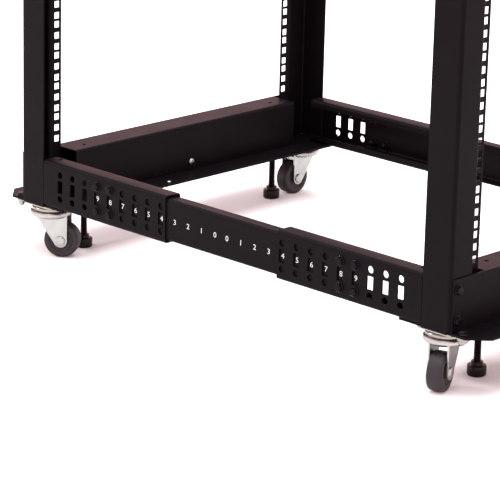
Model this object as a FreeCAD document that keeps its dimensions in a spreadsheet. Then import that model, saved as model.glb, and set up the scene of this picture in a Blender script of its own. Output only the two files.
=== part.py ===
"""Four post open frame rack with telescoping side beams, casters and levelling feet.

Frame: +Z up, floor at z = 0, +X across the rack, +Y from front to rear, origin on the
floor under the middle. All sizes are millimetres.
"""
import FreeCAD, Part
import math
import os
import types
import Sketcher

doc = FreeCAD.newDocument("OpenFrameRack")
sheet = doc.addObject("Spreadsheet::Sheet", "Sizes")


class Size:
    """A size in millimetres together with the sheet formula that gives it."""

    def __init__(self, value, formula):
        self.value = value
        self.formula = formula

    def __add__(self, other):
        other = as_size(other)
        return Size(self.value + other.value, "(" + self.formula + " + " + other.formula + ")")

    def __radd__(self, other):
        return as_size(other) + self

    def __sub__(self, other):
        other = as_size(other)
        return Size(self.value - other.value, "(" + self.formula + " - " + other.formula + ")")

    def __rsub__(self, other):
        return as_size(other) - self

    def __mul__(self, other):
        other = as_size(other)
        return Size(self.value * other.value, "(" + self.formula + " * " + other.formula + ")")

    def __rmul__(self, other):
        return as_size(other) * self

    def __truediv__(self, other):
        other = as_size(other)
        return Size(self.value / other.value, "(" + self.formula + " / " + other.formula + ")")

    def __neg__(self):
        return self * -1


def as_size(number):
    """Give a plain number the same form as a named size."""
    if isinstance(number, Size):
        return number
    return Size(float(number), "(" + str(number) + ")")


SIZES = {
    # Overall frame
    "rack_width": 575,
    "rack_depth": 792,
    "sheet_thick": 2,
    "bend_inside": 2.5,
    # Nineteen inch rail pattern
    "unit_count": 12,
    "unit_pitch": 44.45,
    "rail_hole": 9.5,
    "rail_hole_in": 7.55,
    "rail_strip": 20.5,
    "rail_first_hole": 6.35,
    "rail_hole_step": 15.875,
    "rail_margin": 75,
    "opening_width": 450,
    # Posts
    "post_depth": 45,
    "rail_recess": 10,
    # Telescoping side beams
    "beam_height": 66.5,
    "sleeve_flange": 28,
    "sleeve_lip": 11,
    "column_count": 9,
    "column_pitch": 25.4,
    "first_column": 80,
    "column_margin": 8.8,
    "beam_hole": 9.6,
    "beam_hole_rise": 17.5,
    "window_width": 10.4,
    "window_height": 18,
    "tie_hole": 6,
    "tie_hole_in": 19,
    "tie_hole_along": 61,
    "inner_drop": 3.9,
    "inner_flange": 19,
    "free_columns": 3,
    # Cross members
    "cross_rise": 1.5,
    "cross_depth": 44,
    "cross_side_gap": 3,
    "cross_post_gap": 1,
    "cross_hole_side": 33.5,
    "cross_hole_in": 24,
    # Base plates
    "plate_thick": 3,
    "plate_in": 83,
    "plate_out": 48,
    "plate_chamfer": 24,
    "plate_gap": 0.3,
    # Casters
    "caster_height": 79.5,
    "caster_side": 30,
    "caster_in": 28,
    "caster_pad": 56,
    "caster_pad_corner": 6,
    "caster_pad_thick": 2.5,
    "race_radius": 27.5,
    "race_height": 7,
    "crown_gap": 0.3,
    "crown_radius": 30,
    "crown_height": 12,
    "crown_taper": 10,
    "fork_thick": 2.5,
    "fork_eye": 11,
    "caster_trail": 17,
    "wheel_radius": 25.5,
    "wheel_width": 21,
    "wheel_gap": 1,
    "axle_radius": 4,
    "running_gap": 0.3,
    # Levelling feet
    "foot_side": 92.5,
    "foot_in": 28,
    "foot_radius": 12.5,
    "foot_height": 14,
    "stud_radius": 4.8,
    "stud_above": 32,
}

sizes = types.SimpleNamespace()
for row, (alias, value) in enumerate(SIZES.items(), 1):
    cell = "B" + str(row)
    sheet.set("A" + str(row), alias.replace("_", " "))
    sheet.set(cell, str(value))
    sheet.setAlias(cell, alias)
    setattr(sizes, alias, Size(float(value), "Sizes." + alias))
doc.recompute()

# Sizes that follow from the driving ones
bend_outside = sizes.bend_inside + sizes.sheet_thick
post_width = (sizes.rack_width - sizes.opening_width) / 2
post_face = post_width - sizes.rail_strip
post_height = sizes.rail_margin * 2 + sizes.unit_count * sizes.unit_pitch
cross_height = sizes.beam_height + sizes.cross_rise
sleeve_end = sizes.first_column + (sizes.column_count - 1) * sizes.column_pitch + sizes.column_margin
inner_end = sizes.first_column + (sizes.free_columns - 0.5) * sizes.column_pitch
base_height = sizes.caster_height + sizes.plate_thick
top_beam_height = base_height + post_height - sizes.beam_height

# ---------------------------------------------------------------- modelling helpers


def bind(feature, prop, size):
    """Set a property from a size and tie it to the sheet."""
    feature.setExpression(prop, as_size(size).formula)


def origin_feature(body, role):
    """Find one of a body's own origin planes or axes."""
    for feature in body.Origin.OriginFeatures:
        if feature.Role == role:
            return feature
    raise ValueError("no origin feature " + role)


def new_body(label, place):
    """Start a named body at a place given by three sizes."""
    body = doc.addObject("PartDesign::Body", label)
    body.Label = label
    for axis, size in zip("xyz", place):
        bind(body, "Placement.Base." + axis, size)
    return body


def new_sketch(body, name, plane, offset=None):
    """Start a sketch on an origin plane, moved along the plane's normal if asked."""
    sketch = body.newObject("Sketcher::SketchObject", name)
    sketch.AttachmentSupport = (origin_feature(body, plane), [""])
    sketch.MapMode = "FlatFace"
    if offset is not None:
        bind(sketch, "AttachmentOffset.Base.z", offset)
    return sketch


def hold(sketch, kind, geometry, point, size):
    """Hold a point of a sketch at a signed distance from the sketch's origin."""
    size = as_size(size)
    index = sketch.addConstraint(Sketcher.Constraint(kind, -1, 1, geometry, point, size.value))
    sketch.setExpression("Constraints[" + str(index) + "]", size.formula)


def draw_outline(sketch, corners):
    """Draw a closed outline through corners, each given as two sizes."""
    corners = [(as_size(across), as_size(up)) for across, up in corners]
    ends = corners[1:] + corners[:1]
    lines = []
    for start, end in zip(corners, ends):
        first = FreeCAD.Vector(start[0].value, start[1].value, 0)
        last = FreeCAD.Vector(end[0].value, end[1].value, 0)
        lines.append(sketch.addGeometry(Part.LineSegment(first, last), False))
    for line, following in zip(lines, lines[1:] + lines[:1]):
        sketch.addConstraint(Sketcher.Constraint("Coincident", line, 2, following, 1))
    for line, (across, up) in zip(lines, corners):
        hold(sketch, "DistanceX", line, 1, across)
        hold(sketch, "DistanceY", line, 1, up)


def draw_box(sketch, across, up, width, height):
    """Draw a rectangle round its centre."""
    draw_outline(sketch, [
        (across - width / 2, up - height / 2),
        (across + width / 2, up - height / 2),
        (across + width / 2, up + height / 2),
        (across - width / 2, up + height / 2),
    ])


def draw_circle(sketch, across, up, radius):
    """Draw a circle with its centre and radius held to the sheet."""
    across, up, radius = as_size(across), as_size(up), as_size(radius)
    centre = FreeCAD.Vector(across.value, up.value, 0)
    circle = Part.Circle(centre, FreeCAD.Vector(0, 0, 1), radius.value)
    geometry = sketch.addGeometry(circle, False)
    index = sketch.addConstraint(Sketcher.Constraint("Radius", geometry, radius.value))
    sketch.setExpression("Constraints[" + str(index) + "]", radius.formula)
    hold(sketch, "DistanceX", geometry, 3, across)
    hold(sketch, "DistanceY", geometry, 3, up)


def draw_regular(sketch, across, up, reach, side_count):
    """Draw a regular outline whose corners are at one reach from its centre."""
    turn = 2 * math.pi / side_count
    corners = []
    for number in range(side_count):
        angle = turn * (number + 0.5)
        corners.append((across + reach * math.cos(angle), up + reach * math.sin(angle)))
    draw_outline(sketch, corners)


def draw_punched(sketch, across, up, diameter):
    """Draw a small punched hole as eight flats that touch its circle."""
    reach = diameter / 2 / math.cos(math.pi / HOLE_SIDE_COUNT)
    draw_regular(sketch, across, up, reach, HOLE_SIDE_COUNT)


def pad(body, name, sketch, length, flipped=False, both=False):
    """Extrude a sketch along its normal, or against it, or half each way."""
    feature = body.newObject("PartDesign::Pad", name)
    feature.Profile = sketch
    bind(feature, "Length", length)
    feature.Reversed = flipped
    feature.Midplane = both
    sketch.Visibility = False
    doc.recompute()
    return feature


def pocket(body, name, sketch, length, flipped=False, both=False):
    """Cut a sketch into the body and check that it removes material."""
    before = body.Shape.Volume
    feature = body.newObject("PartDesign::Pocket", name)
    feature.Profile = sketch
    bind(feature, "Length", length)
    feature.Reversed = flipped
    feature.Midplane = both
    sketch.Visibility = False
    doc.recompute()
    if body.Shape.Volume >= before:
        raise ValueError(name + " cuts nothing")
    return feature


def repeat(body, name, feature, axis, spacing, count, flipped=False):
    """Repeat a cut along one of the body's axes."""
    pattern = body.newObject("PartDesign::LinearPattern", name)
    pattern.Originals = [feature]
    pattern.Direction = (origin_feature(body, axis), [""])
    pattern.Reversed = flipped
    bind(pattern, "Length", spacing * (count - 1))
    bind(pattern, "Occurrences", count)
    body.Tip = pattern
    doc.recompute()
    return pattern


def round_bends(body, name, radius, direction, corners):
    """Round the long edges of a folded sheet that pass through the given corners."""
    tolerance = 0.01
    shape = body.Shape
    names = []
    for number, edge in enumerate(shape.Edges, 1):
        if edge.Curve.TypeId != "Part::GeomLine":
            continue
        if abs(edge.Curve.Direction * direction) < 1 - tolerance:
            continue
        for corner in corners:
            step = edge.Vertexes[0].Point - body.Placement.Base - corner
            if (step - direction * (step * direction)).Length < tolerance:
                names.append("Edge" + str(number))
    folded = body.Tip
    fillet = body.newObject("PartDesign::Fillet", name)
    fillet.Base = (folded, names)
    bind(fillet, "Radius", radius)
    body.Tip = fillet
    doc.recompute()
    return fillet


def revolve(body, name, sketch, axis):
    """Turn a sketch a full circle round one of the body's axes."""
    feature = body.newObject("PartDesign::Revolution", name)
    feature.Profile = sketch
    feature.ReferenceAxis = (origin_feature(body, axis), [""])
    feature.Angle = 360
    sketch.Visibility = False
    doc.recompute()
    return feature


HOLE_SIDE_COUNT = 8
RACE_SIDE_COUNT = 16
AXLE_SIDE_COUNT = 12
THROUGH = 4  # how many sheet thicknesses a cut spans when it goes through one sheet

ALONG_X = FreeCAD.Vector(1, 0, 0)
ALONG_Y = FreeCAD.Vector(0, 1, 0)
ALONG_Z = FreeCAD.Vector(0, 0, 1)

SIDES = {"left": -1, "right": 1}
ENDS = {"front": -1, "rear": 1}


# ---------------------------------------------------------------- frame


def make_post(label, side, end):
    """A folded post: side web, front face, step back and punched rail strip."""
    across, along = -side, -end
    body = new_body(label, (side * sizes.rack_width / 2, end * sizes.rack_depth / 2, base_height))
    outline = [
        (0, sizes.post_depth),
        (0, 0),
        (post_face, 0),
        (post_face, sizes.rail_recess),
        (post_width, sizes.rail_recess),
        (post_width, sizes.rail_recess + sizes.sheet_thick),
        (post_face - sizes.sheet_thick, sizes.rail_recess + sizes.sheet_thick),
        (post_face - sizes.sheet_thick, sizes.sheet_thick),
        (sizes.sheet_thick, sizes.sheet_thick),
        (sizes.sheet_thick, sizes.post_depth),
    ]
    placed = [(as_size(x) * across, as_size(y) * along) for x, y in outline]
    section = new_sketch(body, label + "_section", "XY_Plane")
    draw_outline(section, placed)
    pad(body, label + "_fold", section, post_height)
    spots = [FreeCAD.Vector(x.value, y.value, 0) for x, y in placed]
    outside = [spots[1], spots[2], spots[6]]
    inside = [spots[3], spots[7], spots[8]]
    round_bends(body, label + "_outer_bends", bend_outside, ALONG_Z, outside)
    round_bends(body, label + "_inner_bends", sizes.bend_inside, ALONG_Z, inside)

    skirt = new_sketch(body, label + "_skirt_outline", "XY_Plane")
    skirt_depth = sizes.post_depth - bend_outside
    draw_box(
        skirt,
        sizes.sheet_thick / 2 * across,
        (bend_outside + skirt_depth / 2) * along,
        sizes.sheet_thick,
        skirt_depth,
    )
    pad(body, label + "_skirt", skirt, sizes.plate_thick, flipped=True)

    holes = new_sketch(body, label + "_unit_holes", "XZ_Plane")
    hole_in = post_width - sizes.rail_hole_in
    for index in range(3):
        rise = sizes.rail_margin + sizes.rail_first_hole + sizes.rail_hole_step * index
        draw_box(holes, hole_in * across, rise, sizes.rail_hole, sizes.rail_hole)
    reach = sizes.rail_recess + sizes.sheet_thick * THROUGH
    cut = pocket(body, label + "_unit", holes, reach * 2, both=True)
    repeat(body, label + "_rail", cut, "Z_Axis", sizes.unit_pitch, sizes.unit_count)
    return body


def make_sleeve(label, side, end, height):
    """The outer half of a side beam: a lipped channel with windows over the scale."""
    across, along = -side, -end
    body = new_body(label, (side * sizes.rack_width / 2, end * sizes.rack_depth / 2, height))
    lip_in = sizes.sleeve_flange - sizes.sheet_thick
    top = sizes.beam_height
    outline = [
        (0, 0),
        (sizes.sleeve_flange, 0),
        (sizes.sleeve_flange, sizes.sleeve_lip),
        (lip_in, sizes.sleeve_lip),
        (lip_in, sizes.sheet_thick),
        (sizes.sheet_thick, sizes.sheet_thick),
        (sizes.sheet_thick, top - sizes.sheet_thick),
        (lip_in, top - sizes.sheet_thick),
        (lip_in, top - sizes.sleeve_lip),
        (sizes.sleeve_flange, top - sizes.sleeve_lip),
        (sizes.sleeve_flange, top),
        (0, top),
    ]
    placed = [(as_size(x) * across, as_size(z)) for x, z in outline]
    section = new_sketch(body, label + "_section", "XZ_Plane", -sizes.post_depth * along)
    draw_outline(section, placed)
    pad(body, label + "_fold", section, sleeve_end - sizes.post_depth, flipped=along > 0)
    spots = [FreeCAD.Vector(x.value, 0, z.value) for x, z in placed]
    outside = [spots[0], spots[1], spots[10], spots[11]]
    inside = [spots[4], spots[5], spots[6], spots[7]]
    round_bends(body, label + "_outer_bends", bend_outside, ALONG_Y, outside)
    round_bends(body, label + "_inner_bends", sizes.bend_inside, ALONG_Y, inside)

    holes = new_sketch(body, label + "_column_holes", "YZ_Plane")
    middle = sizes.beam_height / 2
    for rise in (-sizes.beam_hole_rise, sizes.beam_hole_rise):
        draw_punched(holes, sizes.first_column * along, middle + rise, sizes.beam_hole)
    draw_box(holes, sizes.first_column * along, middle, sizes.window_width, sizes.window_height)
    cut = pocket(body, label + "_column", holes, sizes.sheet_thick * THROUGH, both=True)
    repeat(body, label + "_scale", cut, "Y_Axis", sizes.column_pitch, sizes.column_count, flipped=along < 0)

    tie = new_sketch(body, label + "_tie_outline", "XY_Plane", top)
    draw_punched(tie, sizes.tie_hole_in * across, sizes.tie_hole_along * along, sizes.tie_hole)
    body.Tip = pocket(body, label + "_tie_hole", tie, sizes.sheet_thick * THROUGH)
    return body


def make_inner_beam(label, side, height):
    """The inner half of a side beam, which the two sleeves slide over."""
    across = -side
    place = (side * (sizes.rack_width / 2 - sizes.sheet_thick), 0, height + sizes.inner_drop)
    body = new_body(label, place)
    top = sizes.beam_height - sizes.inner_drop * 2
    outline = [
        (0, 0),
        (sizes.inner_flange, 0),
        (sizes.inner_flange, sizes.sheet_thick),
        (sizes.sheet_thick, sizes.sheet_thick),
        (sizes.sheet_thick, top - sizes.sheet_thick),
        (sizes.inner_flange, top - sizes.sheet_thick),
        (sizes.inner_flange, top),
        (0, top),
    ]
    placed = [(as_size(x) * across, as_size(z)) for x, z in outline]
    section = new_sketch(body, label + "_section", "XZ_Plane")
    draw_outline(section, placed)
    pad(body, label + "_fold", section, sizes.rack_depth - inner_end * 2, both=True)
    spots = [FreeCAD.Vector(x.value, 0, z.value) for x, z in placed]
    round_bends(body, label + "_outer_bends", bend_outside, ALONG_Y, [spots[0], spots[7]])
    round_bends(body, label + "_inner_bends", sizes.bend_inside, ALONG_Y, [spots[3], spots[4]])
    return body


def make_cross_member(label, end, height):
    """A folded channel between the posts, with an end web that laps their faces."""
    along = -end
    body = new_body(label, (0, end * sizes.rack_depth / 2, height))
    outline = [
        (-sizes.sheet_thick, 0),
        (-sizes.sheet_thick, cross_height),
        (sizes.cross_depth, cross_height),
        (sizes.cross_depth, 0),
        (sizes.cross_depth - sizes.sheet_thick, 0),
        (sizes.cross_depth - sizes.sheet_thick, cross_height - sizes.sheet_thick),
        (0, cross_height - sizes.sheet_thick),
        (0, 0),
    ]
    placed = [(as_size(y) * along, as_size(z)) for y, z in outline]
    section = new_sketch(body, label + "_section", "YZ_Plane")
    draw_outline(section, placed)
    channel_length = sizes.opening_width - sizes.cross_post_gap * 2
    pad(body, label + "_fold", section, channel_length, both=True)
    web = new_sketch(body, label + "_web_outline", "YZ_Plane")
    draw_box(web, -sizes.sheet_thick / 2 * along, cross_height / 2, sizes.sheet_thick, cross_height)
    pad(body, label + "_web", web, sizes.rack_width - sizes.cross_side_gap * 2, both=True)
    spots = [FreeCAD.Vector(0, y.value, z.value) for y, z in placed]
    round_bends(body, label + "_outer_bends", bend_outside, ALONG_X, [spots[2]])
    round_bends(body, label + "_inner_bends", sizes.bend_inside, ALONG_X, [spots[5]])

    ties = new_sketch(body, label + "_tie_outline", "XY_Plane", cross_height)
    for side in SIDES.values():
        across = (sizes.opening_width / 2 - sizes.cross_hole_side) * side
        draw_circle(ties, across, sizes.cross_hole_in * along, sizes.tie_hole / 2)
    body.Tip = pocket(body, label + "_tie_holes", ties, sizes.sheet_thick * THROUGH)
    return body


def make_base_plate(label, end):
    """The plate under one end frame that carries the casters and levelling feet."""
    along = -end
    body = new_body(label, (0, end * sizes.rack_depth / 2, sizes.caster_height))
    half_length = sizes.rack_width / 2 - sizes.sheet_thick - sizes.plate_gap
    inner = sizes.plate_in * along
    outer = -sizes.plate_out * along
    chamfer = sizes.plate_chamfer
    section = new_sketch(body, label + "_outline", "XY_Plane")
    draw_outline(section, [
        (-half_length, inner),
        (half_length, inner),
        (half_length, outer + chamfer * along),
        (half_length - chamfer, outer),
        (chamfer - half_length, outer),
        (-half_length, outer + chamfer * along),
    ])
    pad(body, label + "_sheet", section, sizes.plate_thick)
    holes = new_sketch(body, label + "_stud_holes", "XY_Plane")
    for side in SIDES.values():
        foot_x = (sizes.rack_width / 2 - sizes.foot_side) * side
        draw_circle(holes, foot_x, sizes.foot_in * along, sizes.stud_radius + sizes.running_gap)
    body.Tip = pocket(body, label + "_holes", holes, sizes.plate_thick * THROUGH, both=True)
    return body


# ---------------------------------------------------------------- casters and feet


def caster_place(side, end):
    """The swivel axis of one caster, on the floor."""
    x = side * (sizes.rack_width / 2 - sizes.caster_side)
    y = end * (sizes.rack_depth / 2 - sizes.caster_in)
    return x, y


def make_caster_pad(label, side, end):
    """The fixed top plate of a caster with its upper ball race."""
    x, y = caster_place(side, end)
    body = new_body(label, (x, y, sizes.caster_height - sizes.caster_pad_thick))
    half = sizes.caster_pad / 2
    cut = half - sizes.caster_pad_corner
    outline = new_sketch(body, label + "_outline", "XY_Plane")
    draw_outline(outline, [
        (-cut, -half), (cut, -half), (half, -cut), (half, cut),
        (cut, half), (-cut, half), (-half, cut), (-half, -cut),
    ])
    pad(body, label + "_plate", outline, sizes.caster_pad_thick)
    race = new_sketch(body, label + "_race_outline", "XY_Plane")
    draw_regular(race, 0, 0, sizes.race_radius, RACE_SIDE_COUNT)
    body.Tip = pad(body, label + "_race", race, sizes.race_height, flipped=True)
    return body


def make_fork(label, side, end, angle):
    """The swivelling fork of a caster with its crown, two arms and axle."""
    x, y = caster_place(side, end)
    top = sizes.caster_height - sizes.caster_pad_thick - sizes.race_height - sizes.crown_gap
    body = new_body(label, (x, y, 0))
    body.Placement.Rotation = FreeCAD.Rotation(ALONG_Z, angle)
    crown = new_sketch(body, label + "_crown_outline", "XY_Plane", top)
    draw_circle(crown, 0, 0, sizes.crown_radius)
    pad(body, label + "_crown", crown, sizes.crown_height, flipped=True)

    clear_width = sizes.wheel_width + sizes.wheel_gap * 2
    arm_width = clear_width + sizes.fork_thick * 2
    arm_top = top - sizes.crown_height / 2
    trail = sizes.caster_trail
    axle_up = sizes.wheel_radius
    eye = sizes.fork_eye
    arms = new_sketch(body, label + "_arm_outline", "XZ_Plane")
    draw_outline(arms, [
        (sizes.crown_taper - sizes.crown_radius, arm_top),
        (trail - eye, axle_up - eye / 2),
        (trail - eye / 2, axle_up - eye),
        (trail + eye / 2, axle_up - eye),
        (trail + eye, axle_up - eye / 2),
        (trail + eye, arm_top),
    ])
    pad(body, label + "_arms", arms, arm_width, both=True)
    gap = new_sketch(body, label + "_gap_outline", "XZ_Plane")
    gap_top = top - sizes.crown_height
    gap_length = (sizes.crown_radius + trail + eye) * 2
    draw_box(gap, 0, gap_top / 2, gap_length, gap_top)
    pocket(body, label + "_gap", gap, clear_width, both=True)
    axle = new_sketch(body, label + "_axle_outline", "XZ_Plane")
    draw_regular(axle, trail, axle_up, sizes.axle_radius, AXLE_SIDE_COUNT)
    body.Tip = pad(body, label + "_axle", axle, arm_width, both=True)
    return body


def make_wheel(label, side, end, angle):
    """A caster wheel, turned round its axle."""
    x, y = caster_place(side, end)
    across = math.cos(math.radians(angle))
    along = math.sin(math.radians(angle))
    trail = sizes.caster_trail
    body = new_body(label, (x + trail * across, y + trail * along, sizes.wheel_radius))
    body.Placement.Rotation = FreeCAD.Rotation(ALONG_Z, angle)
    disc = new_sketch(body, label + "_outline", "XZ_Plane")
    draw_circle(disc, 0, 0, sizes.wheel_radius)
    draw_circle(disc, 0, 0, sizes.axle_radius + sizes.running_gap)
    body.Tip = pad(body, label + "_disc", disc, sizes.wheel_width, both=True)
    return body


def make_leveller(label, side, end):
    """A levelling foot: its pad and its stud in one turned piece."""
    x = side * (sizes.rack_width / 2 - sizes.foot_side)
    y = end * (sizes.rack_depth / 2 - sizes.foot_in)
    body = new_body(label, (x, y, 0))
    top = base_height + sizes.stud_above
    section = new_sketch(body, label + "_section", "XZ_Plane")
    draw_outline(section, [
        (0, 0),
        (sizes.foot_radius, 0),
        (sizes.foot_radius, sizes.foot_height),
        (sizes.stud_radius, sizes.foot_height),
        (sizes.stud_radius, top),
        (0, top),
    ])
    revolve(body, label + "_turned", section, "Z_Axis")
    return body


# ---------------------------------------------------------------- the rack

swivel_at_rest = {
    ("left", "rear"): -57,
    ("right", "rear"): 180,
    ("left", "front"): -160,
    ("right", "front"): -40,
}
pieces = []
for end_name, end in ENDS.items():
    pieces.append(make_base_plate(end_name + "_base_plate", end))
    pieces.append(make_cross_member(end_name + "_base_cross_member", end, base_height))
    top_place = base_height + post_height - cross_height
    pieces.append(make_cross_member(end_name + "_top_cross_member", end, top_place))
    for side_name, side in SIDES.items():
        corner = end_name + "_" + side_name
        angle = swivel_at_rest[side_name, end_name]
        pieces.append(make_post(corner + "_post", side, end))
        pieces.append(make_sleeve(corner + "_base_sleeve", side, end, base_height))
        pieces.append(make_sleeve(corner + "_top_sleeve", side, end, top_beam_height))
        pieces.append(make_caster_pad(corner + "_caster_plate", side, end))
        pieces.append(make_fork(corner + "_caster_fork", side, end, angle))
        pieces.append(make_wheel(corner + "_caster_wheel", side, end, angle))
        pieces.append(make_leveller(corner + "_leveller", side, end))
for side_name, side in SIDES.items():
    pieces.append(make_inner_beam(side_name + "_base_inner_beam", side, base_height))
    pieces.append(make_inner_beam(side_name + "_top_inner_beam", side, top_beam_height))

doc.recompute()


def check_objects():
    """Stop if any object failed to build."""
    for item in doc.Objects:
        if "Invalid" in item.State or "Error" in item.State:
            raise ValueError(item.Name + " is in state " + str(item.State))
    for piece in pieces:
        if piece.Shape.isNull() or not piece.Shape.isValid():
            raise ValueError(piece.Label + " has no valid shape")


check_objects()
os.makedirs("parts", exist_ok=True)
for piece in pieces:
    piece.Shape.exportStep("parts/" + piece.Label + ".step")
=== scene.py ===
"""Looks of the four post open frame rack: finishes, fasteners, casters, feet and scale."""
import math

import bmesh
import bpy
from mathutils import Matrix, Vector


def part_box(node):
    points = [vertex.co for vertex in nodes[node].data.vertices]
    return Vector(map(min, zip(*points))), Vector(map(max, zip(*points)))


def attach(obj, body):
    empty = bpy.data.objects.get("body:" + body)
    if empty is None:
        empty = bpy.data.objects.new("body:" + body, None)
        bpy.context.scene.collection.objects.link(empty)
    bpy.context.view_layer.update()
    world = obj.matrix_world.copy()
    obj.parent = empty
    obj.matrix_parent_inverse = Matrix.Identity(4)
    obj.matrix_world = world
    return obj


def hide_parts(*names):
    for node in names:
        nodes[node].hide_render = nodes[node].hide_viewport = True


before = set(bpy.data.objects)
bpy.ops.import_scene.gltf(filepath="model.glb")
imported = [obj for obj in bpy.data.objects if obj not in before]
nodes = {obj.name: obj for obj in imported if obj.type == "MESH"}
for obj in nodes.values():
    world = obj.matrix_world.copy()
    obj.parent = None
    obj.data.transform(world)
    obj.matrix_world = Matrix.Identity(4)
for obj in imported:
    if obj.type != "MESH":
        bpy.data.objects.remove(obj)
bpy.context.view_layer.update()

MM = 0.001
SIDES = {"left": -1, "right": 1}
ENDS = {"front": -1, "rear": 1}
LEVELS = ("base", "top")

# Sizes in metres that the frame's own boxes give
sleeve_low, sleeve_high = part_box("front_left_base_sleeve")
post_low, post_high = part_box("front_left_post")
plate_low, plate_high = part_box("front_base_plate")
half_width = -sleeve_low[0]
half_depth = -post_low[1]
base_height = sleeve_low[2]
rack_top = post_high[2]
beam_height = sleeve_high[2] - sleeve_low[2]
level_height = {"base": base_height, "top": rack_top - beam_height}
sleeve_start = sleeve_low[1] + half_depth
sleeve_end = sleeve_high[1] + half_depth
sleeve_flange = sleeve_high[0] - sleeve_low[0]
plate_under = plate_low[2]

# Sizes in metres that repeat the part's own
SHEET = 2 * MM
BEND_OUT = 4.5 * MM
SLEEVE_LIP = 11 * MM
COLUMN_COUNT = 9
COLUMN_PITCH = 25.4 * MM
FIRST_COLUMN = 80 * MM
BEAM_HOLE = 9.6 * MM
BEAM_HOLE_RISE = 17.5 * MM
WINDOW_WIDTH = 10.4 * MM
WINDOW_HEIGHT = 18 * MM
TIE_HOLE = 6 * MM
TIE_HOLE_IN = 19 * MM
TIE_HOLE_ALONG = 61 * MM
CROSS_DEPTH = 44 * MM
FORK_INSIDE = 11.5 * MM
FORK_THICK = 2.5 * MM
CROWN_HEIGHT = 12 * MM
PAD_THICK = 2.5 * MM
PAD_CORNER = 6 * MM

# Sizes in metres of what only this scene shows
SEAM = 0.8 * MM
FORK_EYE = 9.8 * MM
FORK_BACK = 20.5 * MM
WHEEL_PLAY = 1 * MM
POST_BOLT_IN = 12.4 * MM
POST_BOLT_RISES = (14.3 * MM, 53.7 * MM)
PLATE_BOLT_IN = 10.5 * MM
PLATE_BOLT_OUT = 13 * MM
PLATE_SCREW_SIDE = 219 * MM
PLATE_SCREW_IN = 72 * MM
EARTH_SCREW_ASIDE = 4.7 * MM
EARTH_SCREW_RISE = 11.7 * MM
LOCK_NUT_ACROSS = 16 * MM
DIGIT_HEIGHT = 7.2 * MM
INK_THICK = 0.04 * MM

# Which of a sleeve's columns are bolted, counted from its outer end
BOLTED_COLUMNS = (3, 4)
# The printed scale's 0 stands this many columns further in than the last one
COLUMNS_PAST_LAST = 4
# How much wider than the font's the printed digits are
DIGIT_WIDEN = 1.12

# Where the colour mix node keeps its two inputs and its result
MIX_A = 6
MIX_B = 7
MIX_RESULT = 2


# ---------------------------------------------------------------- materials


def new_material(name, metallic, roughness):
    """A principled material with its node tree, ready to be linked up."""
    material = bpy.data.materials.new(name)
    material.use_nodes = True
    shader = material.node_tree.nodes["Principled BSDF"]
    shader.inputs["Metallic"].default_value = metallic
    shader.inputs["Roughness"].default_value = roughness
    return material, material.node_tree, shader


def noise(tree, scale, detail=3.0):
    """A noise texture in the rack's own coordinates."""
    place = tree.nodes.new("ShaderNodeTexCoord")
    texture = tree.nodes.new("ShaderNodeTexNoise")
    texture.inputs["Scale"].default_value = scale
    texture.inputs["Detail"].default_value = detail
    tree.links.new(place.outputs["Object"], texture.inputs["Vector"])
    return texture


def vary_colour(tree, shader, texture, dark, light):
    """Mix two colours by a noise texture."""
    mix = tree.nodes.new("ShaderNodeMix")
    mix.data_type = "RGBA"
    mix.inputs[MIX_A].default_value = (*dark, 1)
    mix.inputs[MIX_B].default_value = (*light, 1)
    tree.links.new(texture.outputs["Fac"], mix.inputs["Factor"])
    tree.links.new(mix.outputs[MIX_RESULT], shader.inputs["Base Color"])


def vary_roughness(tree, shader, texture, low, high):
    """Spread roughness between two values by a noise texture."""
    spread = tree.nodes.new("ShaderNodeMapRange")
    spread.inputs["To Min"].default_value = low
    spread.inputs["To Max"].default_value = high
    tree.links.new(texture.outputs["Fac"], spread.inputs["Value"])
    tree.links.new(spread.outputs["Result"], shader.inputs["Roughness"])


def add_bump(tree, shader, texture, strength, distance):
    """Raise the surface a little where a noise texture is light."""
    bump = tree.nodes.new("ShaderNodeBump")
    bump.inputs["Strength"].default_value = strength
    bump.inputs["Distance"].default_value = distance
    tree.links.new(texture.outputs["Fac"], bump.inputs["Height"])
    tree.links.new(bump.outputs["Normal"], shader.inputs["Normal"])


def powder_coat():
    """Black satin powder coat with a fine orange peel."""
    material, tree, shader = new_material("black_powder_coat", 0.0, 0.45)
    shader.inputs["Specular IOR Level"].default_value = 0.045
    vary_colour(tree, shader, noise(tree, 14), (0.0020, 0.0014, 0.0020), (0.0040, 0.0030, 0.0038))
    vary_roughness(tree, shader, noise(tree, 30), 0.40, 0.52)
    add_bump(tree, shader, noise(tree, 1500, 2.0), 0.10, 0.00004)
    return material


def zinc_plate(name, dark, light, smooth, rough):
    """Zinc plate, cloudy between a darker and a lighter place."""
    material, tree, shader = new_material(name, 1.0, rough)
    vary_colour(tree, shader, noise(tree, 60), dark, light)
    vary_roughness(tree, shader, noise(tree, 180), smooth, rough)
    add_bump(tree, shader, noise(tree, 900), 0.08, 0.00005)
    return material


def wheel_rubber():
    """Dark hard rubber, a little scuffed."""
    material, tree, shader = new_material("wheel_rubber", 0.0, 0.55)
    shader.inputs["Specular IOR Level"].default_value = 0.3
    vary_colour(tree, shader, noise(tree, 90), (0.009, 0.007, 0.010), (0.018, 0.015, 0.019))
    vary_roughness(tree, shader, noise(tree, 220), 0.45, 0.62)
    add_bump(tree, shader, noise(tree, 1200), 0.12, 0.00005)
    return material


def black_steel():
    """Black oxide on turned steel; also used as painted shade in the screws' cross recesses."""
    material, tree, shader = new_material("black_steel", 0.0, 0.35)
    shader.inputs["Specular IOR Level"].default_value = 0.15
    vary_colour(tree, shader, noise(tree, 120), (0.003, 0.002, 0.002), (0.006, 0.004, 0.004))
    vary_roughness(tree, shader, noise(tree, 260), 0.26, 0.42)
    return material


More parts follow.
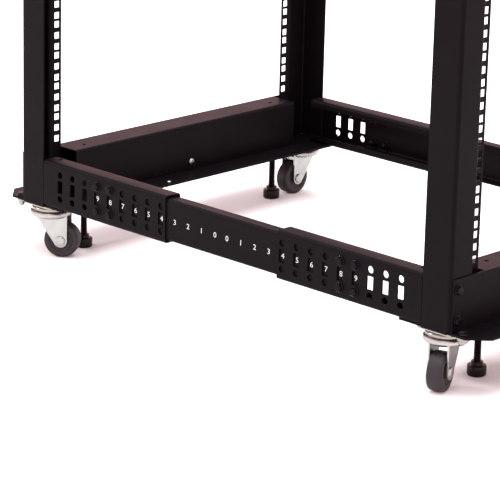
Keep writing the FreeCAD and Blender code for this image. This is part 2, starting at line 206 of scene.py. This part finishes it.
def black_gloss():
    """Glossy black lacquer of the bolts and nuts."""
    material, tree, shader = new_material("black_gloss", 0.0, 0.14)
    shader.inputs["Specular IOR Level"].default_value = 0.06
    vary_colour(tree, shader, noise(tree, 150), (0.0020, 0.0018, 0.0030), (0.0045, 0.0040, 0.0060))
    vary_roughness(tree, shader, noise(tree, 400), 0.09, 0.15)
    return material


def white_ink():
    """Screen printed white."""
    material, tree, shader = new_material("white_ink", 0.0, 0.5)
    vary_colour(tree, shader, noise(tree, 300), (0.44, 0.44, 0.46), (0.52, 0.52, 0.54))
    return material


def floor_paper():
    """Plain pale studio paper, nearly even."""
    material, tree, shader = new_material("studio_paper", 0.0, 0.9)
    vary_colour(tree, shader, noise(tree, 3), (0.86, 0.86, 0.86), (0.88, 0.88, 0.88))
    return material


COAT = powder_coat()
ZINC = zinc_plate("zinc_plate", (0.27, 0.28, 0.28), (0.42, 0.44, 0.42), 0.22, 0.38)
# A darker copy of the same zinc plate: painted shade for the caster mounts and dome nuts under the
# frame.
ZINC_IN_PAINTED_SHADE = zinc_plate("zinc_with_painted_shade", (0.17, 0.16, 0.15), (0.34, 0.33, 0.29), 0.10, 0.20)
RUBBER = wheel_rubber()
STEEL_AND_RECESS_SHADE = black_steel()
BOLT = black_gloss()
INK = white_ink()


# ---------------------------------------------------------------- shapes


def turned(profile, segments=32):
    """Turn a profile of (radius, height) points round the z axis."""
    vertices = []
    rings = []
    for radius, height in profile:
        if radius < 1e-7:
            rings.append([len(vertices)])
            vertices.append(Vector((0, 0, height)))
            continue
        ring = []
        for number in range(segments):
            angle = 2 * math.pi * number / segments
            ring.append(len(vertices))
            vertices.append(Vector((radius * math.cos(angle), radius * math.sin(angle), height)))
        rings.append(ring)
    faces = []
    for low, high in zip(rings, rings[1:]):
        for number in range(segments):
            following = (number + 1) % segments
            if len(low) == 1:
                faces.append((low[0], high[following], high[number]))
            elif len(high) == 1:
                faces.append((low[number], low[following], high[0]))
            else:
                faces.append((low[number], low[following], high[following], high[number]))
    return vertices, faces


def prism(outline, low, high):
    """Stand a flat outline of (x, y) points up between two heights."""
    count = len(outline)
    vertices = [Vector((x, y, low)) for x, y in outline]
    vertices += [Vector((x, y, high)) for x, y in outline]
    faces = [tuple(reversed(range(count))), tuple(range(count, 2 * count))]
    for number in range(count):
        following = (number + 1) % count
        faces.append((number, following, following + count, number + count))
    return vertices, faces


def block(low, high):
    """A plain box between two corners."""
    outline = [(low[0], low[1]), (high[0], low[1]), (high[0], high[1]), (low[0], high[1])]
    return prism(outline, low[2], high[2])


def arc(centre, radius, start, end, count):
    """Points along an arc, with angles in degrees."""
    points = []
    for number in range(count + 1):
        angle = math.radians(start + (end - start) * number / count)
        points.append((centre[0] + radius * math.cos(angle), centre[1] + radius * math.sin(angle)))
    return points


def moved(shape, matrix):
    """A copy of a shape after a move."""
    vertices, faces = shape
    if matrix.determinant() < 0:
        faces = [tuple(reversed(face)) for face in faces]
    return [matrix @ vertex for vertex in vertices], faces


def joined(shapes):
    """Several shapes as one."""
    vertices = []
    faces = []
    for some_vertices, some_faces in shapes:
        first = len(vertices)
        vertices += some_vertices
        faces += [tuple(first + index for index in face) for face in some_faces]
    return vertices, faces


def facing(direction, place):
    """A matrix that sends the z axis along a direction from a place."""
    turn = Vector((0, 0, 1)).rotation_difference(Vector(direction)).to_matrix().to_4x4()
    return Matrix.Translation(Vector(place)) @ turn


def make_mesh(name, shape):
    """A clean mesh with its normals pointing out."""
    mesh = bpy.data.meshes.new(name)
    mesh.from_pydata([tuple(vertex) for vertex in shape[0]], [], shape[1])
    work = bmesh.new()
    work.from_mesh(mesh)
    bmesh.ops.recalc_face_normals(work, faces=work.faces)
    work.to_mesh(mesh)
    work.free()
    return mesh


def add_piece(name, shape, material, body, soft_edges=0.0):
    """Put a shape in the scene as a piece of a body, with its edges over 30 degrees sharp."""
    mesh = shape if isinstance(shape, bpy.types.Mesh) else make_mesh(name, shape)
    mesh.materials.clear()
    mesh.materials.append(material)
    mesh.shade_smooth()
    mesh.set_sharp_from_angle(angle=math.radians(30))
    piece = bpy.data.objects.new(name, mesh)
    bpy.context.collection.objects.link(piece)
    if soft_edges:
        bevel = piece.modifiers.new("soft_edges", "BEVEL")
        bevel.width = soft_edges
        bevel.segments = 2
        bevel.limit_method = "ANGLE"
        bevel.angle_limit = math.radians(40)
        bevel.harden_normals = True
    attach(piece, body)
    return piece


# ---------------------------------------------------------------- fasteners


def hex_solid(across_flats, low, high, chamfer):
    """A hexagon with its top edge chamfered."""
    radius = across_flats / math.sqrt(3)
    profile = [
        (0, low),
        (radius, low),
        (radius, high - chamfer),
        (radius - chamfer * 1.4, high),
        (0, high),
    ]
    return turned(profile, 6)


def hex_bolt(turn=0.0):
    """The head of an M6 flange bolt, standing on z = 0."""
    flange = turned([
        (0, 0),
        (6.9 * MM, 0),
        (6.9 * MM, 0.6 * MM),
        (5.6 * MM, 1.5 * MM),
        (0, 1.5 * MM),
    ], 32)
    head = hex_solid(10.4 * MM, 1.0 * MM, 4.6 * MM, 0.7 * MM)
    dimple = turned([(0, 4.4 * MM), (3.4 * MM, 4.6 * MM), (3.0 * MM, 4.95 * MM), (0, 4.95 * MM)], 24)
    return moved(joined([flange, head, dimple]), Matrix.Rotation(turn, 4, "Z"))


def hex_nut():
    """An M6 flange nut on z = 0 with the end of its bolt standing out."""
    height = 6 * MM
    stud = 3 * MM
    proud = 2 * MM
    flange = turned([
        (0, 0),
        (6.9 * MM, 0),
        (6.9 * MM, 0.8 * MM),
        (5.6 * MM, 1.5 * MM),
        (0, 1.5 * MM),
    ], 28)
    nut = hex_solid(10 * MM, 1 * MM, height, 0.8 * MM)
    end = turned([
        (stud, height - 1 * MM),
        (stud, height + proud - 0.8 * MM),
        (stud - 0.8 * MM, height + proud),
        (0, height + proud),
    ], 20)
    return joined([flange, nut, end])


def dome_nut():
    """A dome nut on z = 0."""
    base = hex_solid(11 * MM, 0, 4.8 * MM, 0.6 * MM)
    radius = 4.7 * MM
    dome = [(radius, 4 * MM)]
    for number in range(0, 7):
        angle = math.radians(90 * number / 6)
        dome.append((radius * math.cos(angle), 7 * MM + radius * math.sin(angle)))
    return joined([base, turned(dome, 24)])


def pan_screw(radius, height):
    """A pan head screw on z = 0, with dark raised bars across its head as painted shade for a cross
    recess.
    """
    head = [(0, 0), (radius, 0)]
    rim = 0.25 * height
    for number in range(0, 6):
        angle = math.radians(90 * number / 5)
        head.append((radius * math.cos(angle) * 0.98, rim + (height - rim) * math.sin(angle)))
    # Raised bars, not a hollow: painted shade of the cross recess
    length = radius * 0.56
    width = radius * 0.10
    low, high = height * 0.8, height * 1.03
    bars = [
        block((-length, -width, low), (length, width, high)),
        block((-width, -length, low), (width, length, high)),
    ]
    return turned(head, 28), joined(bars)


# ---------------------------------------------------------------- sleeves


def sleeve_profile():
    """The section of a sleeve with rounded bends, from its outer face inwards."""
    inside = BEND_OUT - SHEET
    top = beam_height
    lip_in = sleeve_flange - SHEET
    steps = 6
    points = []
    points += arc((BEND_OUT, BEND_OUT), BEND_OUT, 180, 270, steps)
    points += arc((sleeve_flange - BEND_OUT, BEND_OUT), BEND_OUT, 270, 360, steps)
    points += [(sleeve_flange, SLEEVE_LIP), (lip_in, SLEEVE_LIP)]
    points += arc((lip_in - inside, SHEET + inside), inside, 0, -90, 4)
    points += arc((SHEET + inside, SHEET + inside), inside, 270, 180, 4)
    points += arc((SHEET + inside, top - SHEET - inside), inside, 180, 90, 4)
    points += arc((lip_in - inside, top - SHEET - inside), inside, 90, 0, 4)
    points += [(lip_in, top - SLEEVE_LIP), (sleeve_flange, top - SLEEVE_LIP)]
    points += arc((sleeve_flange - BEND_OUT, top - BEND_OUT), BEND_OUT, 0, 90, steps)
    points += arc((BEND_OUT, top - BEND_OUT), BEND_OUT, 90, 180, steps)
    return points


def sleeve_cutters():
    """Everything that is punched out of a sleeve: round holes, windows and the tie hole."""
    shapes = []
    through = facing((1, 0, 0), (-2 * MM, 0, 0))
    for column in range(COLUMN_COUNT):
        along = FIRST_COLUMN + column * COLUMN_PITCH
        for rise in (-BEAM_HOLE_RISE, BEAM_HOLE_RISE):
            pin = prism(arc((0, 0), BEAM_HOLE / 2, 0, 360 - 360 / 28, 27), 0, 6 * MM)
            place = Matrix.Translation((0, along, beam_height / 2 + rise))
            shapes.append(moved(pin, place @ through))
        shapes.append(block(
            (-2 * MM, along - WINDOW_WIDTH / 2, beam_height / 2 - WINDOW_HEIGHT / 2),
            (4 * MM, along + WINDOW_WIDTH / 2, beam_height / 2 + WINDOW_HEIGHT / 2),
        ))
    rim = arc((0, 0), TIE_HOLE / 2, 0, 360 - 360 / 20, 19)
    pin = prism(rim, beam_height - 3 * MM, beam_height + 2 * MM)
    shapes.append(moved(pin, Matrix.Translation((TIE_HOLE_IN, TIE_HOLE_ALONG, 0))))
    return joined(shapes)


def punched_sleeve():
    """One sleeve as a mesh: x in from the outer face, y in from the outer end."""
    upright = Matrix(((1, 0, 0, 0), (0, 0, 1, 0), (0, 1, 0, 0), (0, 0, 0, 1)))
    channel = moved(prism(sleeve_profile(), sleeve_start + SEAM, sleeve_end), upright)
    body = bpy.data.objects.new("sleeve_blank", make_mesh("sleeve_blank", channel))
    cutter = bpy.data.objects.new("sleeve_cutter", make_mesh("sleeve_cutter", sleeve_cutters()))
    for item in (body, cutter):
        bpy.context.collection.objects.link(item)
    cut = body.modifiers.new("punch", "BOOLEAN")
    cut.operation = "DIFFERENCE"
    cut.solver = "EXACT"
    cut.object = cutter
    graph = bpy.context.evaluated_depsgraph_get()
    result = bpy.data.meshes.new_from_object(body.evaluated_get(graph))
    vertices = [vertex.co.copy() for vertex in result.vertices]
    faces = [tuple(polygon.vertices) for polygon in result.polygons]
    for item in (body, cutter):
        bpy.data.objects.remove(item)
    return vertices, faces


def corner_matrix(end, side, height):
    """From a corner's own frame, in from the outer faces, to the rack's frame."""
    place = Matrix.Translation((SIDES[side] * half_width, ENDS[end] * half_depth, height))
    return place @ Matrix.Diagonal((-SIDES[side], -ENDS[end], 1, 1))


def add_sleeves():
    """Replace the eight sleeves by ones with truly round holes."""
    blank = punched_sleeve()
    for end in ENDS:
        for side in SIDES:
            for level in LEVELS:
                node = end + "_" + side + "_" + level + "_sleeve"
                sleeve = moved(blank, corner_matrix(end, side, level_height[level]))
                piece = add_piece(node + "_punched", sleeve, COAT, "frame")
                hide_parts(node)


def add_beam_bolts():
    """Two bolted columns on every sleeve, with nuts inside the inner beam."""
    for end in ENDS:
        for side in SIDES:
            for level in LEVELS:
                heads = []
                nuts = []
                height = level_height[level] + beam_height / 2
                for column in BOLTED_COLUMNS:
                    along = ENDS[end] * (half_depth - FIRST_COLUMN - column * COLUMN_PITCH)
                    for rise in (-BEAM_HOLE_RISE, BEAM_HOLE_RISE):
                        outside = (SIDES[side] * half_width, along, height + rise)
                        # No two neighbouring heads stop at the same angle
                        turn = 0.35 * column + 40 * rise
                        heads.append(moved(hex_bolt(turn), facing((SIDES[side], 0, 0), outside)))
                        inside = (SIDES[side] * (half_width - 2 * SHEET), along, height + rise)
                        nuts.append(moved(hex_nut(), facing((-SIDES[side], 0, 0), inside)))
                name = end + "_" + side + "_" + level + "_beam"
                add_piece(name + "_bolts", joined(heads), BOLT, "frame")
                add_piece(name + "_nuts", joined(nuts), BOLT, "frame")


def add_post_bolts():
    """Two bolts through each end of each cross member into its post."""
    for end in ENDS:
        for side in SIDES:
            for level in LEVELS:
                heads = []
                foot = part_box(end + "_" + level + "_cross_member")[0][2]
                for rise in POST_BOLT_RISES:
                    x = SIDES[side] * (half_width - POST_BOLT_IN)
                    y = ENDS[end] * (half_depth + SHEET)
                    heads.append(moved(hex_bolt(0.4), facing((0, ENDS[end], 0), (x, y, foot + rise))))
                name = end + "_" + side + "_" + level + "_post_bolts"
                add_piece(name, joined(heads), BOLT, "frame")


def add_screws(name, radius, height, places):
    """Zinc pan head screws, each at a matrix, with dark bars on them as painted shade of the cross
    recesses.
    """
    head, recess_painted_shade = pan_screw(radius, height)
    heads = [moved(head, place) for place in places]
    recess_shade_marks = [moved(recess_painted_shade, place) for place in places]
    add_piece(name, joined(heads), ZINC, "frame")
    # The dark cross is painted shade of the recess.
    add_piece(name + "_recess", joined(recess_shade_marks), STEEL_AND_RECESS_SHADE, "frame")


def add_plate_fasteners():
    """The bolts, dome nuts and screws of the base plates, and the earth screws."""
    plate_top = plate_high[2]
    for end in ENDS:
        bolts = []
        domes = []
        for side in SIDES.values():
            x = side * (half_width - PLATE_BOLT_IN)
            y = ENDS[end] * (half_depth + PLATE_BOLT_OUT)
            bolts.append(moved(hex_bolt(), Matrix.Translation((x, y, plate_top))))
            domes.append(moved(dome_nut(), facing((0, 0, -1), (x, y, plate_under))))
        x = ENDS[end] * (PLATE_SCREW_SIDE - half_width)
        y = ENDS[end] * (half_depth - PLATE_SCREW_IN)
        small = Matrix.Translation((x, y, plate_top))
        add_piece(end + "_plate_bolts", joined(bolts), BOLT, "frame")
        # The dome nuts take the darker zinc, painted shade under the plate.
        add_piece(end + "_plate_dome_nuts", joined(domes), ZINC_IN_PAINTED_SHADE, "frame")
        add_screws(end + "_plate_screw", 3.6 * MM, 2.2 * MM, [small])
        web = ENDS[end] * (half_depth - CROSS_DEPTH)
        place = facing((0, -ENDS[end], 0), (EARTH_SCREW_ASIDE, web, plate_top + EARTH_SCREW_RISE))
        add_screws(end + "_earth_screw", 5.2 * MM, 3.1 * MM, [place])


# ---------------------------------------------------------------- scale


def digit_shape(digit, height):
    """One printed digit as a thin flat shape centred on the origin, upright along y."""
    curve = bpy.data.curves.new("digit", "FONT")
    curve.body = str(digit)
    curve.size = 1.0
    curve.offset = 0.005
    curve.extrude = 0.0
    curve.resolution_u = 4
    letter = bpy.data.objects.new("digit", curve)
    bpy.context.collection.objects.link(letter)
    graph = bpy.context.evaluated_depsgraph_get()
    mesh = bpy.data.meshes.new_from_object(letter.evaluated_get(graph))
    points = [vertex.co.copy() for vertex in mesh.vertices]
    low = Vector((min(p.x for p in points), min(p.y for p in points), 0))
    high = Vector((max(p.x for p in points), max(p.y for p in points), 0))
    scale = height / (high.y - low.y)
    middle = (low + high) / 2
    stretch = Matrix.Diagonal((DIGIT_WIDEN * scale, scale, 1))
    vertices = [stretch @ (point - middle) for point in points]
    faces = [tuple(polygon.vertices) for polygon in mesh.polygons]
    bpy.data.objects.remove(letter)
    return vertices, faces


def add_scales():
    """The depth scale printed on each inner beam, counted out from the middle."""
    digits = [digit_shape(number, DIGIT_HEIGHT) for number in range(10)]
    zero_column = COLUMN_COUNT - 1 + COLUMNS_PAST_LAST
    zero_along = half_depth - FIRST_COLUMN - zero_column * COLUMN_PITCH
    up = Vector((0, 0, 1))
    for side, sign in SIDES.items():
        face = sign * (half_width - SHEET + INK_THICK)
        out = Vector((sign, 0, 0))
        turn = Matrix((up.cross(out), up, out)).transposed().to_4x4()
        for level in LEVELS:
            height = level_height[level] + beam_height / 2
            shapes = []
            for number in range(10):
                for way in (-1, 1):
                    along = way * (zero_along + number * COLUMN_PITCH)
                    place = Matrix.Translation((face, along, height)) @ turn
                    shapes.append(moved(digits[number], place))
            name = side + "_" + level + "_printed_scale"
            mesh = bpy.data.meshes.new(name)
            vertices, faces = joined(shapes)
            mesh.from_pydata([tuple(vertex) for vertex in vertices], [], faces)
            add_piece(name, mesh, INK, "frame")


# ---------------------------------------------------------------- casters and feet


def middle(node):
    """The middle of a node's box."""
    low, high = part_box(node)
    return (Vector(low) + Vector(high)) / 2


def wheel_shape(radius, half):
    """A hard wheel with a crowned tread and a stepped hub, turned round z."""
    bore = 4.3 * MM
    side = [
        (bore, half),
        (7.5 * MM, half),
        (7.8 * MM, half - 0.3 * MM),
        (8.4 * MM, half - 1.6 * MM),
        (16 * MM, half - 1.6 * MM),
        (17.2 * MM, half - 0.4 * MM),
        (18 * MM, half),
        (22.4 * MM, half),
        (24.0 * MM, half - 0.6 * MM),
        (25.0 * MM, half - 1.8 * MM),
        (radius - 0.12 * MM, half - 4 * MM),
        (radius, half - 6.5 * MM),
    ]
    mirrored = [(r, -z) for r, z in reversed(side)]
    return turned(side + mirrored + [side[0]], 72)


def fork_arm(trail, axle_up, top, low_side, high_side):
    """One arm of the fork: a slanted rear edge, a straight front edge, a round end."""
    start = Vector((-FORK_BACK, top))
    reach = Vector((trail, axle_up)) - start
    lean = math.degrees(math.atan2(reach.y, reach.x) - math.asin(FORK_EYE / reach.length))
    outline = [tuple(start)]
    outline += arc((trail, axle_up), FORK_EYE, lean - 90, 0, 14)
    outline += [(trail + FORK_EYE, top)]
    upright = Matrix(((1, 0, 0, 0), (0, 0, 1, 0), (0, 1, 0, 0), (0, 0, 0, 1)))
    return moved(prism(outline, low_side, high_side), upright)


def add_caster_mount(corner):
    """The fixed top plate with its flared race, in place of the plain one."""
    node = corner + "_caster_plate"
    low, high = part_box(node)
    x, y = middle(node).x, middle(node).y
    half = (high[0] - low[0]) / 2
    under = high[2] - PAD_THICK
    cut = half - PAD_CORNER
    outline = []
    for number, (sx, sy) in enumerate(((1, 1), (-1, 1), (-1, -1), (1, -1))):
        outline += arc((sx * cut, sy * cut), PAD_CORNER, 90 * number, 90 * number + 90, 6)
    plate = prism(outline, under, high[2])
    race = turned([
        (0, under + 0.5 * MM),
        (24.0 * MM, under + 0.5 * MM),
        (24.6 * MM, under - 0.8 * MM),
        (26.6 * MM, under - 2.2 * MM),
        (27.4 * MM, under - 3.4 * MM),
        (27.5 * MM, low[2] + 1.2 * MM),
        (26.9 * MM, low[2]),
        (0, low[2]),
    ], 64)
    shape = moved(joined([plate, race]), Matrix.Translation((x, y, 0)))
    # The mount takes the darker zinc, painted shade under the frame.
    piece = add_piece(corner + "_caster_mount", shape, ZINC_IN_PAINTED_SHADE, "frame")
    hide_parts(node)


def crown_shape(top, low):
    """The pressed crown of the fork: a rolled rim over a tapered underside."""
    return turned([
        (0, top - 0.6 * MM),
        (24.0 * MM, top - 0.6 * MM),
        (25.0 * MM, top),
        (27.0 * MM, top - 0.5 * MM),
        (29.2 * MM, top - 1.6 * MM),
        (30.0 * MM, top - 3.0 * MM),
        (30.0 * MM, top - 5.6 * MM),
        (29.2 * MM, top - 7.6 * MM),
        (27.0 * MM, top - 9.4 * MM),
        (24.0 * MM, top - 10.8 * MM),
        (21.0 * MM, top - 11.6 * MM),
        (18.0 * MM, low),
        (0, low),
    ], 64)


def add_caster(corner):
    """Detailed mount, fork, axle and wheel of one caster."""
    add_caster_mount(corner)
    wheel_low, wheel_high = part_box(corner + "_caster_wheel")
    radius = (wheel_high[2] - wheel_low[2]) / 2
    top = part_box(corner + "_caster_fork")[1][2]
    swivel = middle(corner + "_caster_plate")
    hub = middle(corner + "_caster_wheel")
    reach = Vector((hub.x - swivel.x, hub.y - swivel.y))
    trail = reach.length
    turn = Matrix.Rotation(math.atan2(reach.y, reach.x), 4, "Z")
    place = Matrix.Translation((swivel.x, swivel.y, 0)) @ turn
    at_axle = place @ Matrix.Translation((trail, 0, radius)) @ facing((0, 1, 0), (0, 0, 0))

    wheel = moved(wheel_shape(radius, FORK_INSIDE - WHEEL_PLAY), at_axle)
    piece = add_piece(corner + "_caster_tyre", wheel, RUBBER, corner + "_wheel")
    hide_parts(corner + "_caster_wheel")

    shapes = [crown_shape(top, top - CROWN_HEIGHT)]
    for low_side in (-FORK_INSIDE - FORK_THICK, FORK_INSIDE):
        shapes.append(fork_arm(trail, radius, top - CROWN_HEIGHT / 2, low_side, low_side + FORK_THICK))
    fork = moved(joined(shapes), place)
    body = corner + "_swivel"
    piece = add_piece(corner + "_caster_yoke", fork, ZINC, body, soft_edges=0.35 * MM)
    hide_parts(corner + "_caster_fork")

    outside = FORK_INSIDE + FORK_THICK
    head = turned([(0, 2.4 * MM), (5.6 * MM, 2.3 * MM), (6.9 * MM, 1.5 * MM), (7.3 * MM, 0), (0, 0)], 36)
    heads = [
        turned([(4 * MM, -outside), (4 * MM, outside)], 24),
        moved(head, Matrix.Translation((0, 0, outside))),
        moved(head, facing((0, 0, -1), (0, 0, -outside))),
    ]
    add_piece(corner + "_caster_axle", moved(joined(heads), at_axle), ZINC, body)


def add_casters():
    """The four casters."""
    for end in ENDS:
        for side in SIDES:
            add_caster(end + "_" + side)


def stud_profile(low, high, radius):
    """A threaded stud as a stack of fine ridges."""
    pitch = 1.5 * MM
    depth = 0.55 * MM
    points = [(0, low), (radius - depth, low)]
    height = low + 0.5 * MM
    while height + pitch < high - 1 * MM:
        points.append((radius - depth, height))
        points.append((radius, height + pitch * 0.5))
        height += pitch
    points += [
        (radius - depth, height),
        (radius - depth, high - 0.4 * MM),
        (radius - 1.2 * MM, high),
        (0, high),
    ]
    return points


def add_levellers():
    """Detailed levelling feet with lock nuts on the base plates."""
    for end in ENDS:
        for side in SIDES:
            corner = end + "_" + side
            low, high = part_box(corner + "_leveller")
            x = (low[0] + high[0]) / 2
            y = (low[1] + high[1]) / 2
            radius = (high[0] - low[0]) / 2
            pad = turned([
                (0, 0),
                (radius - 2.2 * MM, 0),
                (radius - 0.8 * MM, 0.5 * MM),
                (radius, 2.0 * MM),
                (radius, 12.6 * MM),
                (radius - 0.5 * MM, 13.6 * MM),
                (radius - 1.4 * MM, 14 * MM),
                (7.8 * MM, 14 * MM),
                (7.6 * MM, 14.4 * MM),
                (7.6 * MM, 18.4 * MM),
                (7.1 * MM, 19 * MM),
                (0, 19 * MM),
            ], 40)
            stud = turned(stud_profile(18.5 * MM, high[2], 4.8 * MM), 24)
            foot = moved(joined([pad, stud]), Matrix.Translation((x, y, 0)))
            piece = add_piece(corner + "_levelling_foot", foot, STEEL_AND_RECESS_SHADE, corner + "_foot")
            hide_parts(corner + "_leveller")
            nut_radius = LOCK_NUT_ACROSS / math.sqrt(3)
            nuts = []
            for height, way in ((plate_high[2], 1), (plate_under, -1)):
                ring = turned([
                    (5.2 * MM, 0),
                    (nut_radius, 0),
                    (nut_radius, 5.5 * MM),
                    (8.4 * MM, 6.3 * MM),
                    (5.2 * MM, 6.3 * MM),
                    (5.2 * MM, 0),
                ], 6)
                nuts.append(moved(ring, facing((0, 0, way), (x, y, height))))
            add_piece(corner + "_foot_lock_nuts", joined(nuts), BOLT, "frame")


# ---------------------------------------------------------------- finish the carried-over nodes


def finish_nodes():
    """Give every CAD node that stays its finish."""
    for node in nodes.values():
        node.data.materials.clear()
        node.data.materials.append(COAT)


finish_nodes()
add_sleeves()
add_beam_bolts()
add_post_bolts()
add_plate_fasteners()
add_scales()
add_casters()
add_levellers()


# ---------------------------------------------------------------- studio


def add_floor():
    """A plain pale floor."""
    reach = 60.0
    mesh = make_mesh("studio_floor", block((-reach, -reach, -0.02), (reach, reach, 0)))
    floor = bpy.data.objects.new("studio_floor", mesh)
    mesh.materials.append(floor_paper())
    bpy.context.collection.objects.link(floor)


def add_area_light(name, place, target, size, power, colour):
    """A square light that faces a target."""
    light = bpy.data.lights.new(name, "AREA")
    light.shape = "RECTANGLE"
    light.size = size
    light.size_y = size
    light.energy = power
    light.color = colour
    lamp = bpy.data.objects.new(name, light)
    lamp.location = place
    aim = Vector(target) - Vector(place)
    lamp.rotation_euler = aim.to_track_quat("-Z", "Y").to_euler()
    bpy.context.collection.objects.link(lamp)


def add_camera():
    """The camera where the photograph was taken from."""
    camera = bpy.data.cameras.new("camera")
    camera.lens = 190.3
    camera.sensor_width = 36
    eye = bpy.data.objects.new("camera", camera)
    forward = Vector((0.68726, 0.66465, -0.29311)).normalized()
    up = Vector((0.19385, 0.22106, 0.9558))
    right = forward.cross(up).normalized()
    up = right.cross(forward)
    turn = Matrix((right, up, -forward)).transposed().to_4x4()
    eye.matrix_world = Matrix.Translation((-2.6518, -2.3423, 1.1191)) @ turn
    bpy.context.collection.objects.link(eye)
    bpy.context.scene.camera = eye


def add_world():
    """A soft white surround with a warm band just above the horizon."""
    world = bpy.data.worlds.new("studio")
    world.use_nodes = True
    tree = world.node_tree
    sky = tree.nodes["Background"]
    place = tree.nodes.new("ShaderNodeTexCoord")
    split = tree.nodes.new("ShaderNodeSeparateXYZ")
    rise = tree.nodes.new("ShaderNodeMapRange")
    rise.interpolation_type = "SMOOTHSTEP"
    rise.inputs["From Min"].default_value = 0.33
    rise.inputs["From Max"].default_value = 0.52
    mix = tree.nodes.new("ShaderNodeMix")
    mix.data_type = "RGBA"
    mix.inputs[MIX_A].default_value = (2.50, 1.38, 1.46, 1)
    mix.inputs[MIX_B].default_value = (1.4, 1.4, 1.4, 1)
    tree.links.new(place.outputs["Generated"], split.inputs["Vector"])
    tree.links.new(split.outputs["Z"], rise.inputs["Value"])
    tree.links.new(rise.outputs["Result"], mix.inputs["Factor"])
    tree.links.new(mix.outputs[MIX_RESULT], sky.inputs["Color"])
    sky.inputs["Strength"].default_value = 1.0
    bpy.context.scene.world = world


add_floor()
add_world()
add_area_light("overhead", (0, 0, 3.4), (0, 0, 0), 3.4, 190, (1.0, 1.0, 1.0))
add_area_light("key", (-2.4, -1.2, 2.6), (0, 0, 0.2), 0.3, 12, (1.0, 0.99, 0.97))
add_area_light("glint", (-2.0, 2.7, 2.2), (0, 0, 0.2), 0.15, 45, (0.95, 0.97, 1.0))
add_camera()
bpy.context.scene.view_settings.view_transform = "Standard"
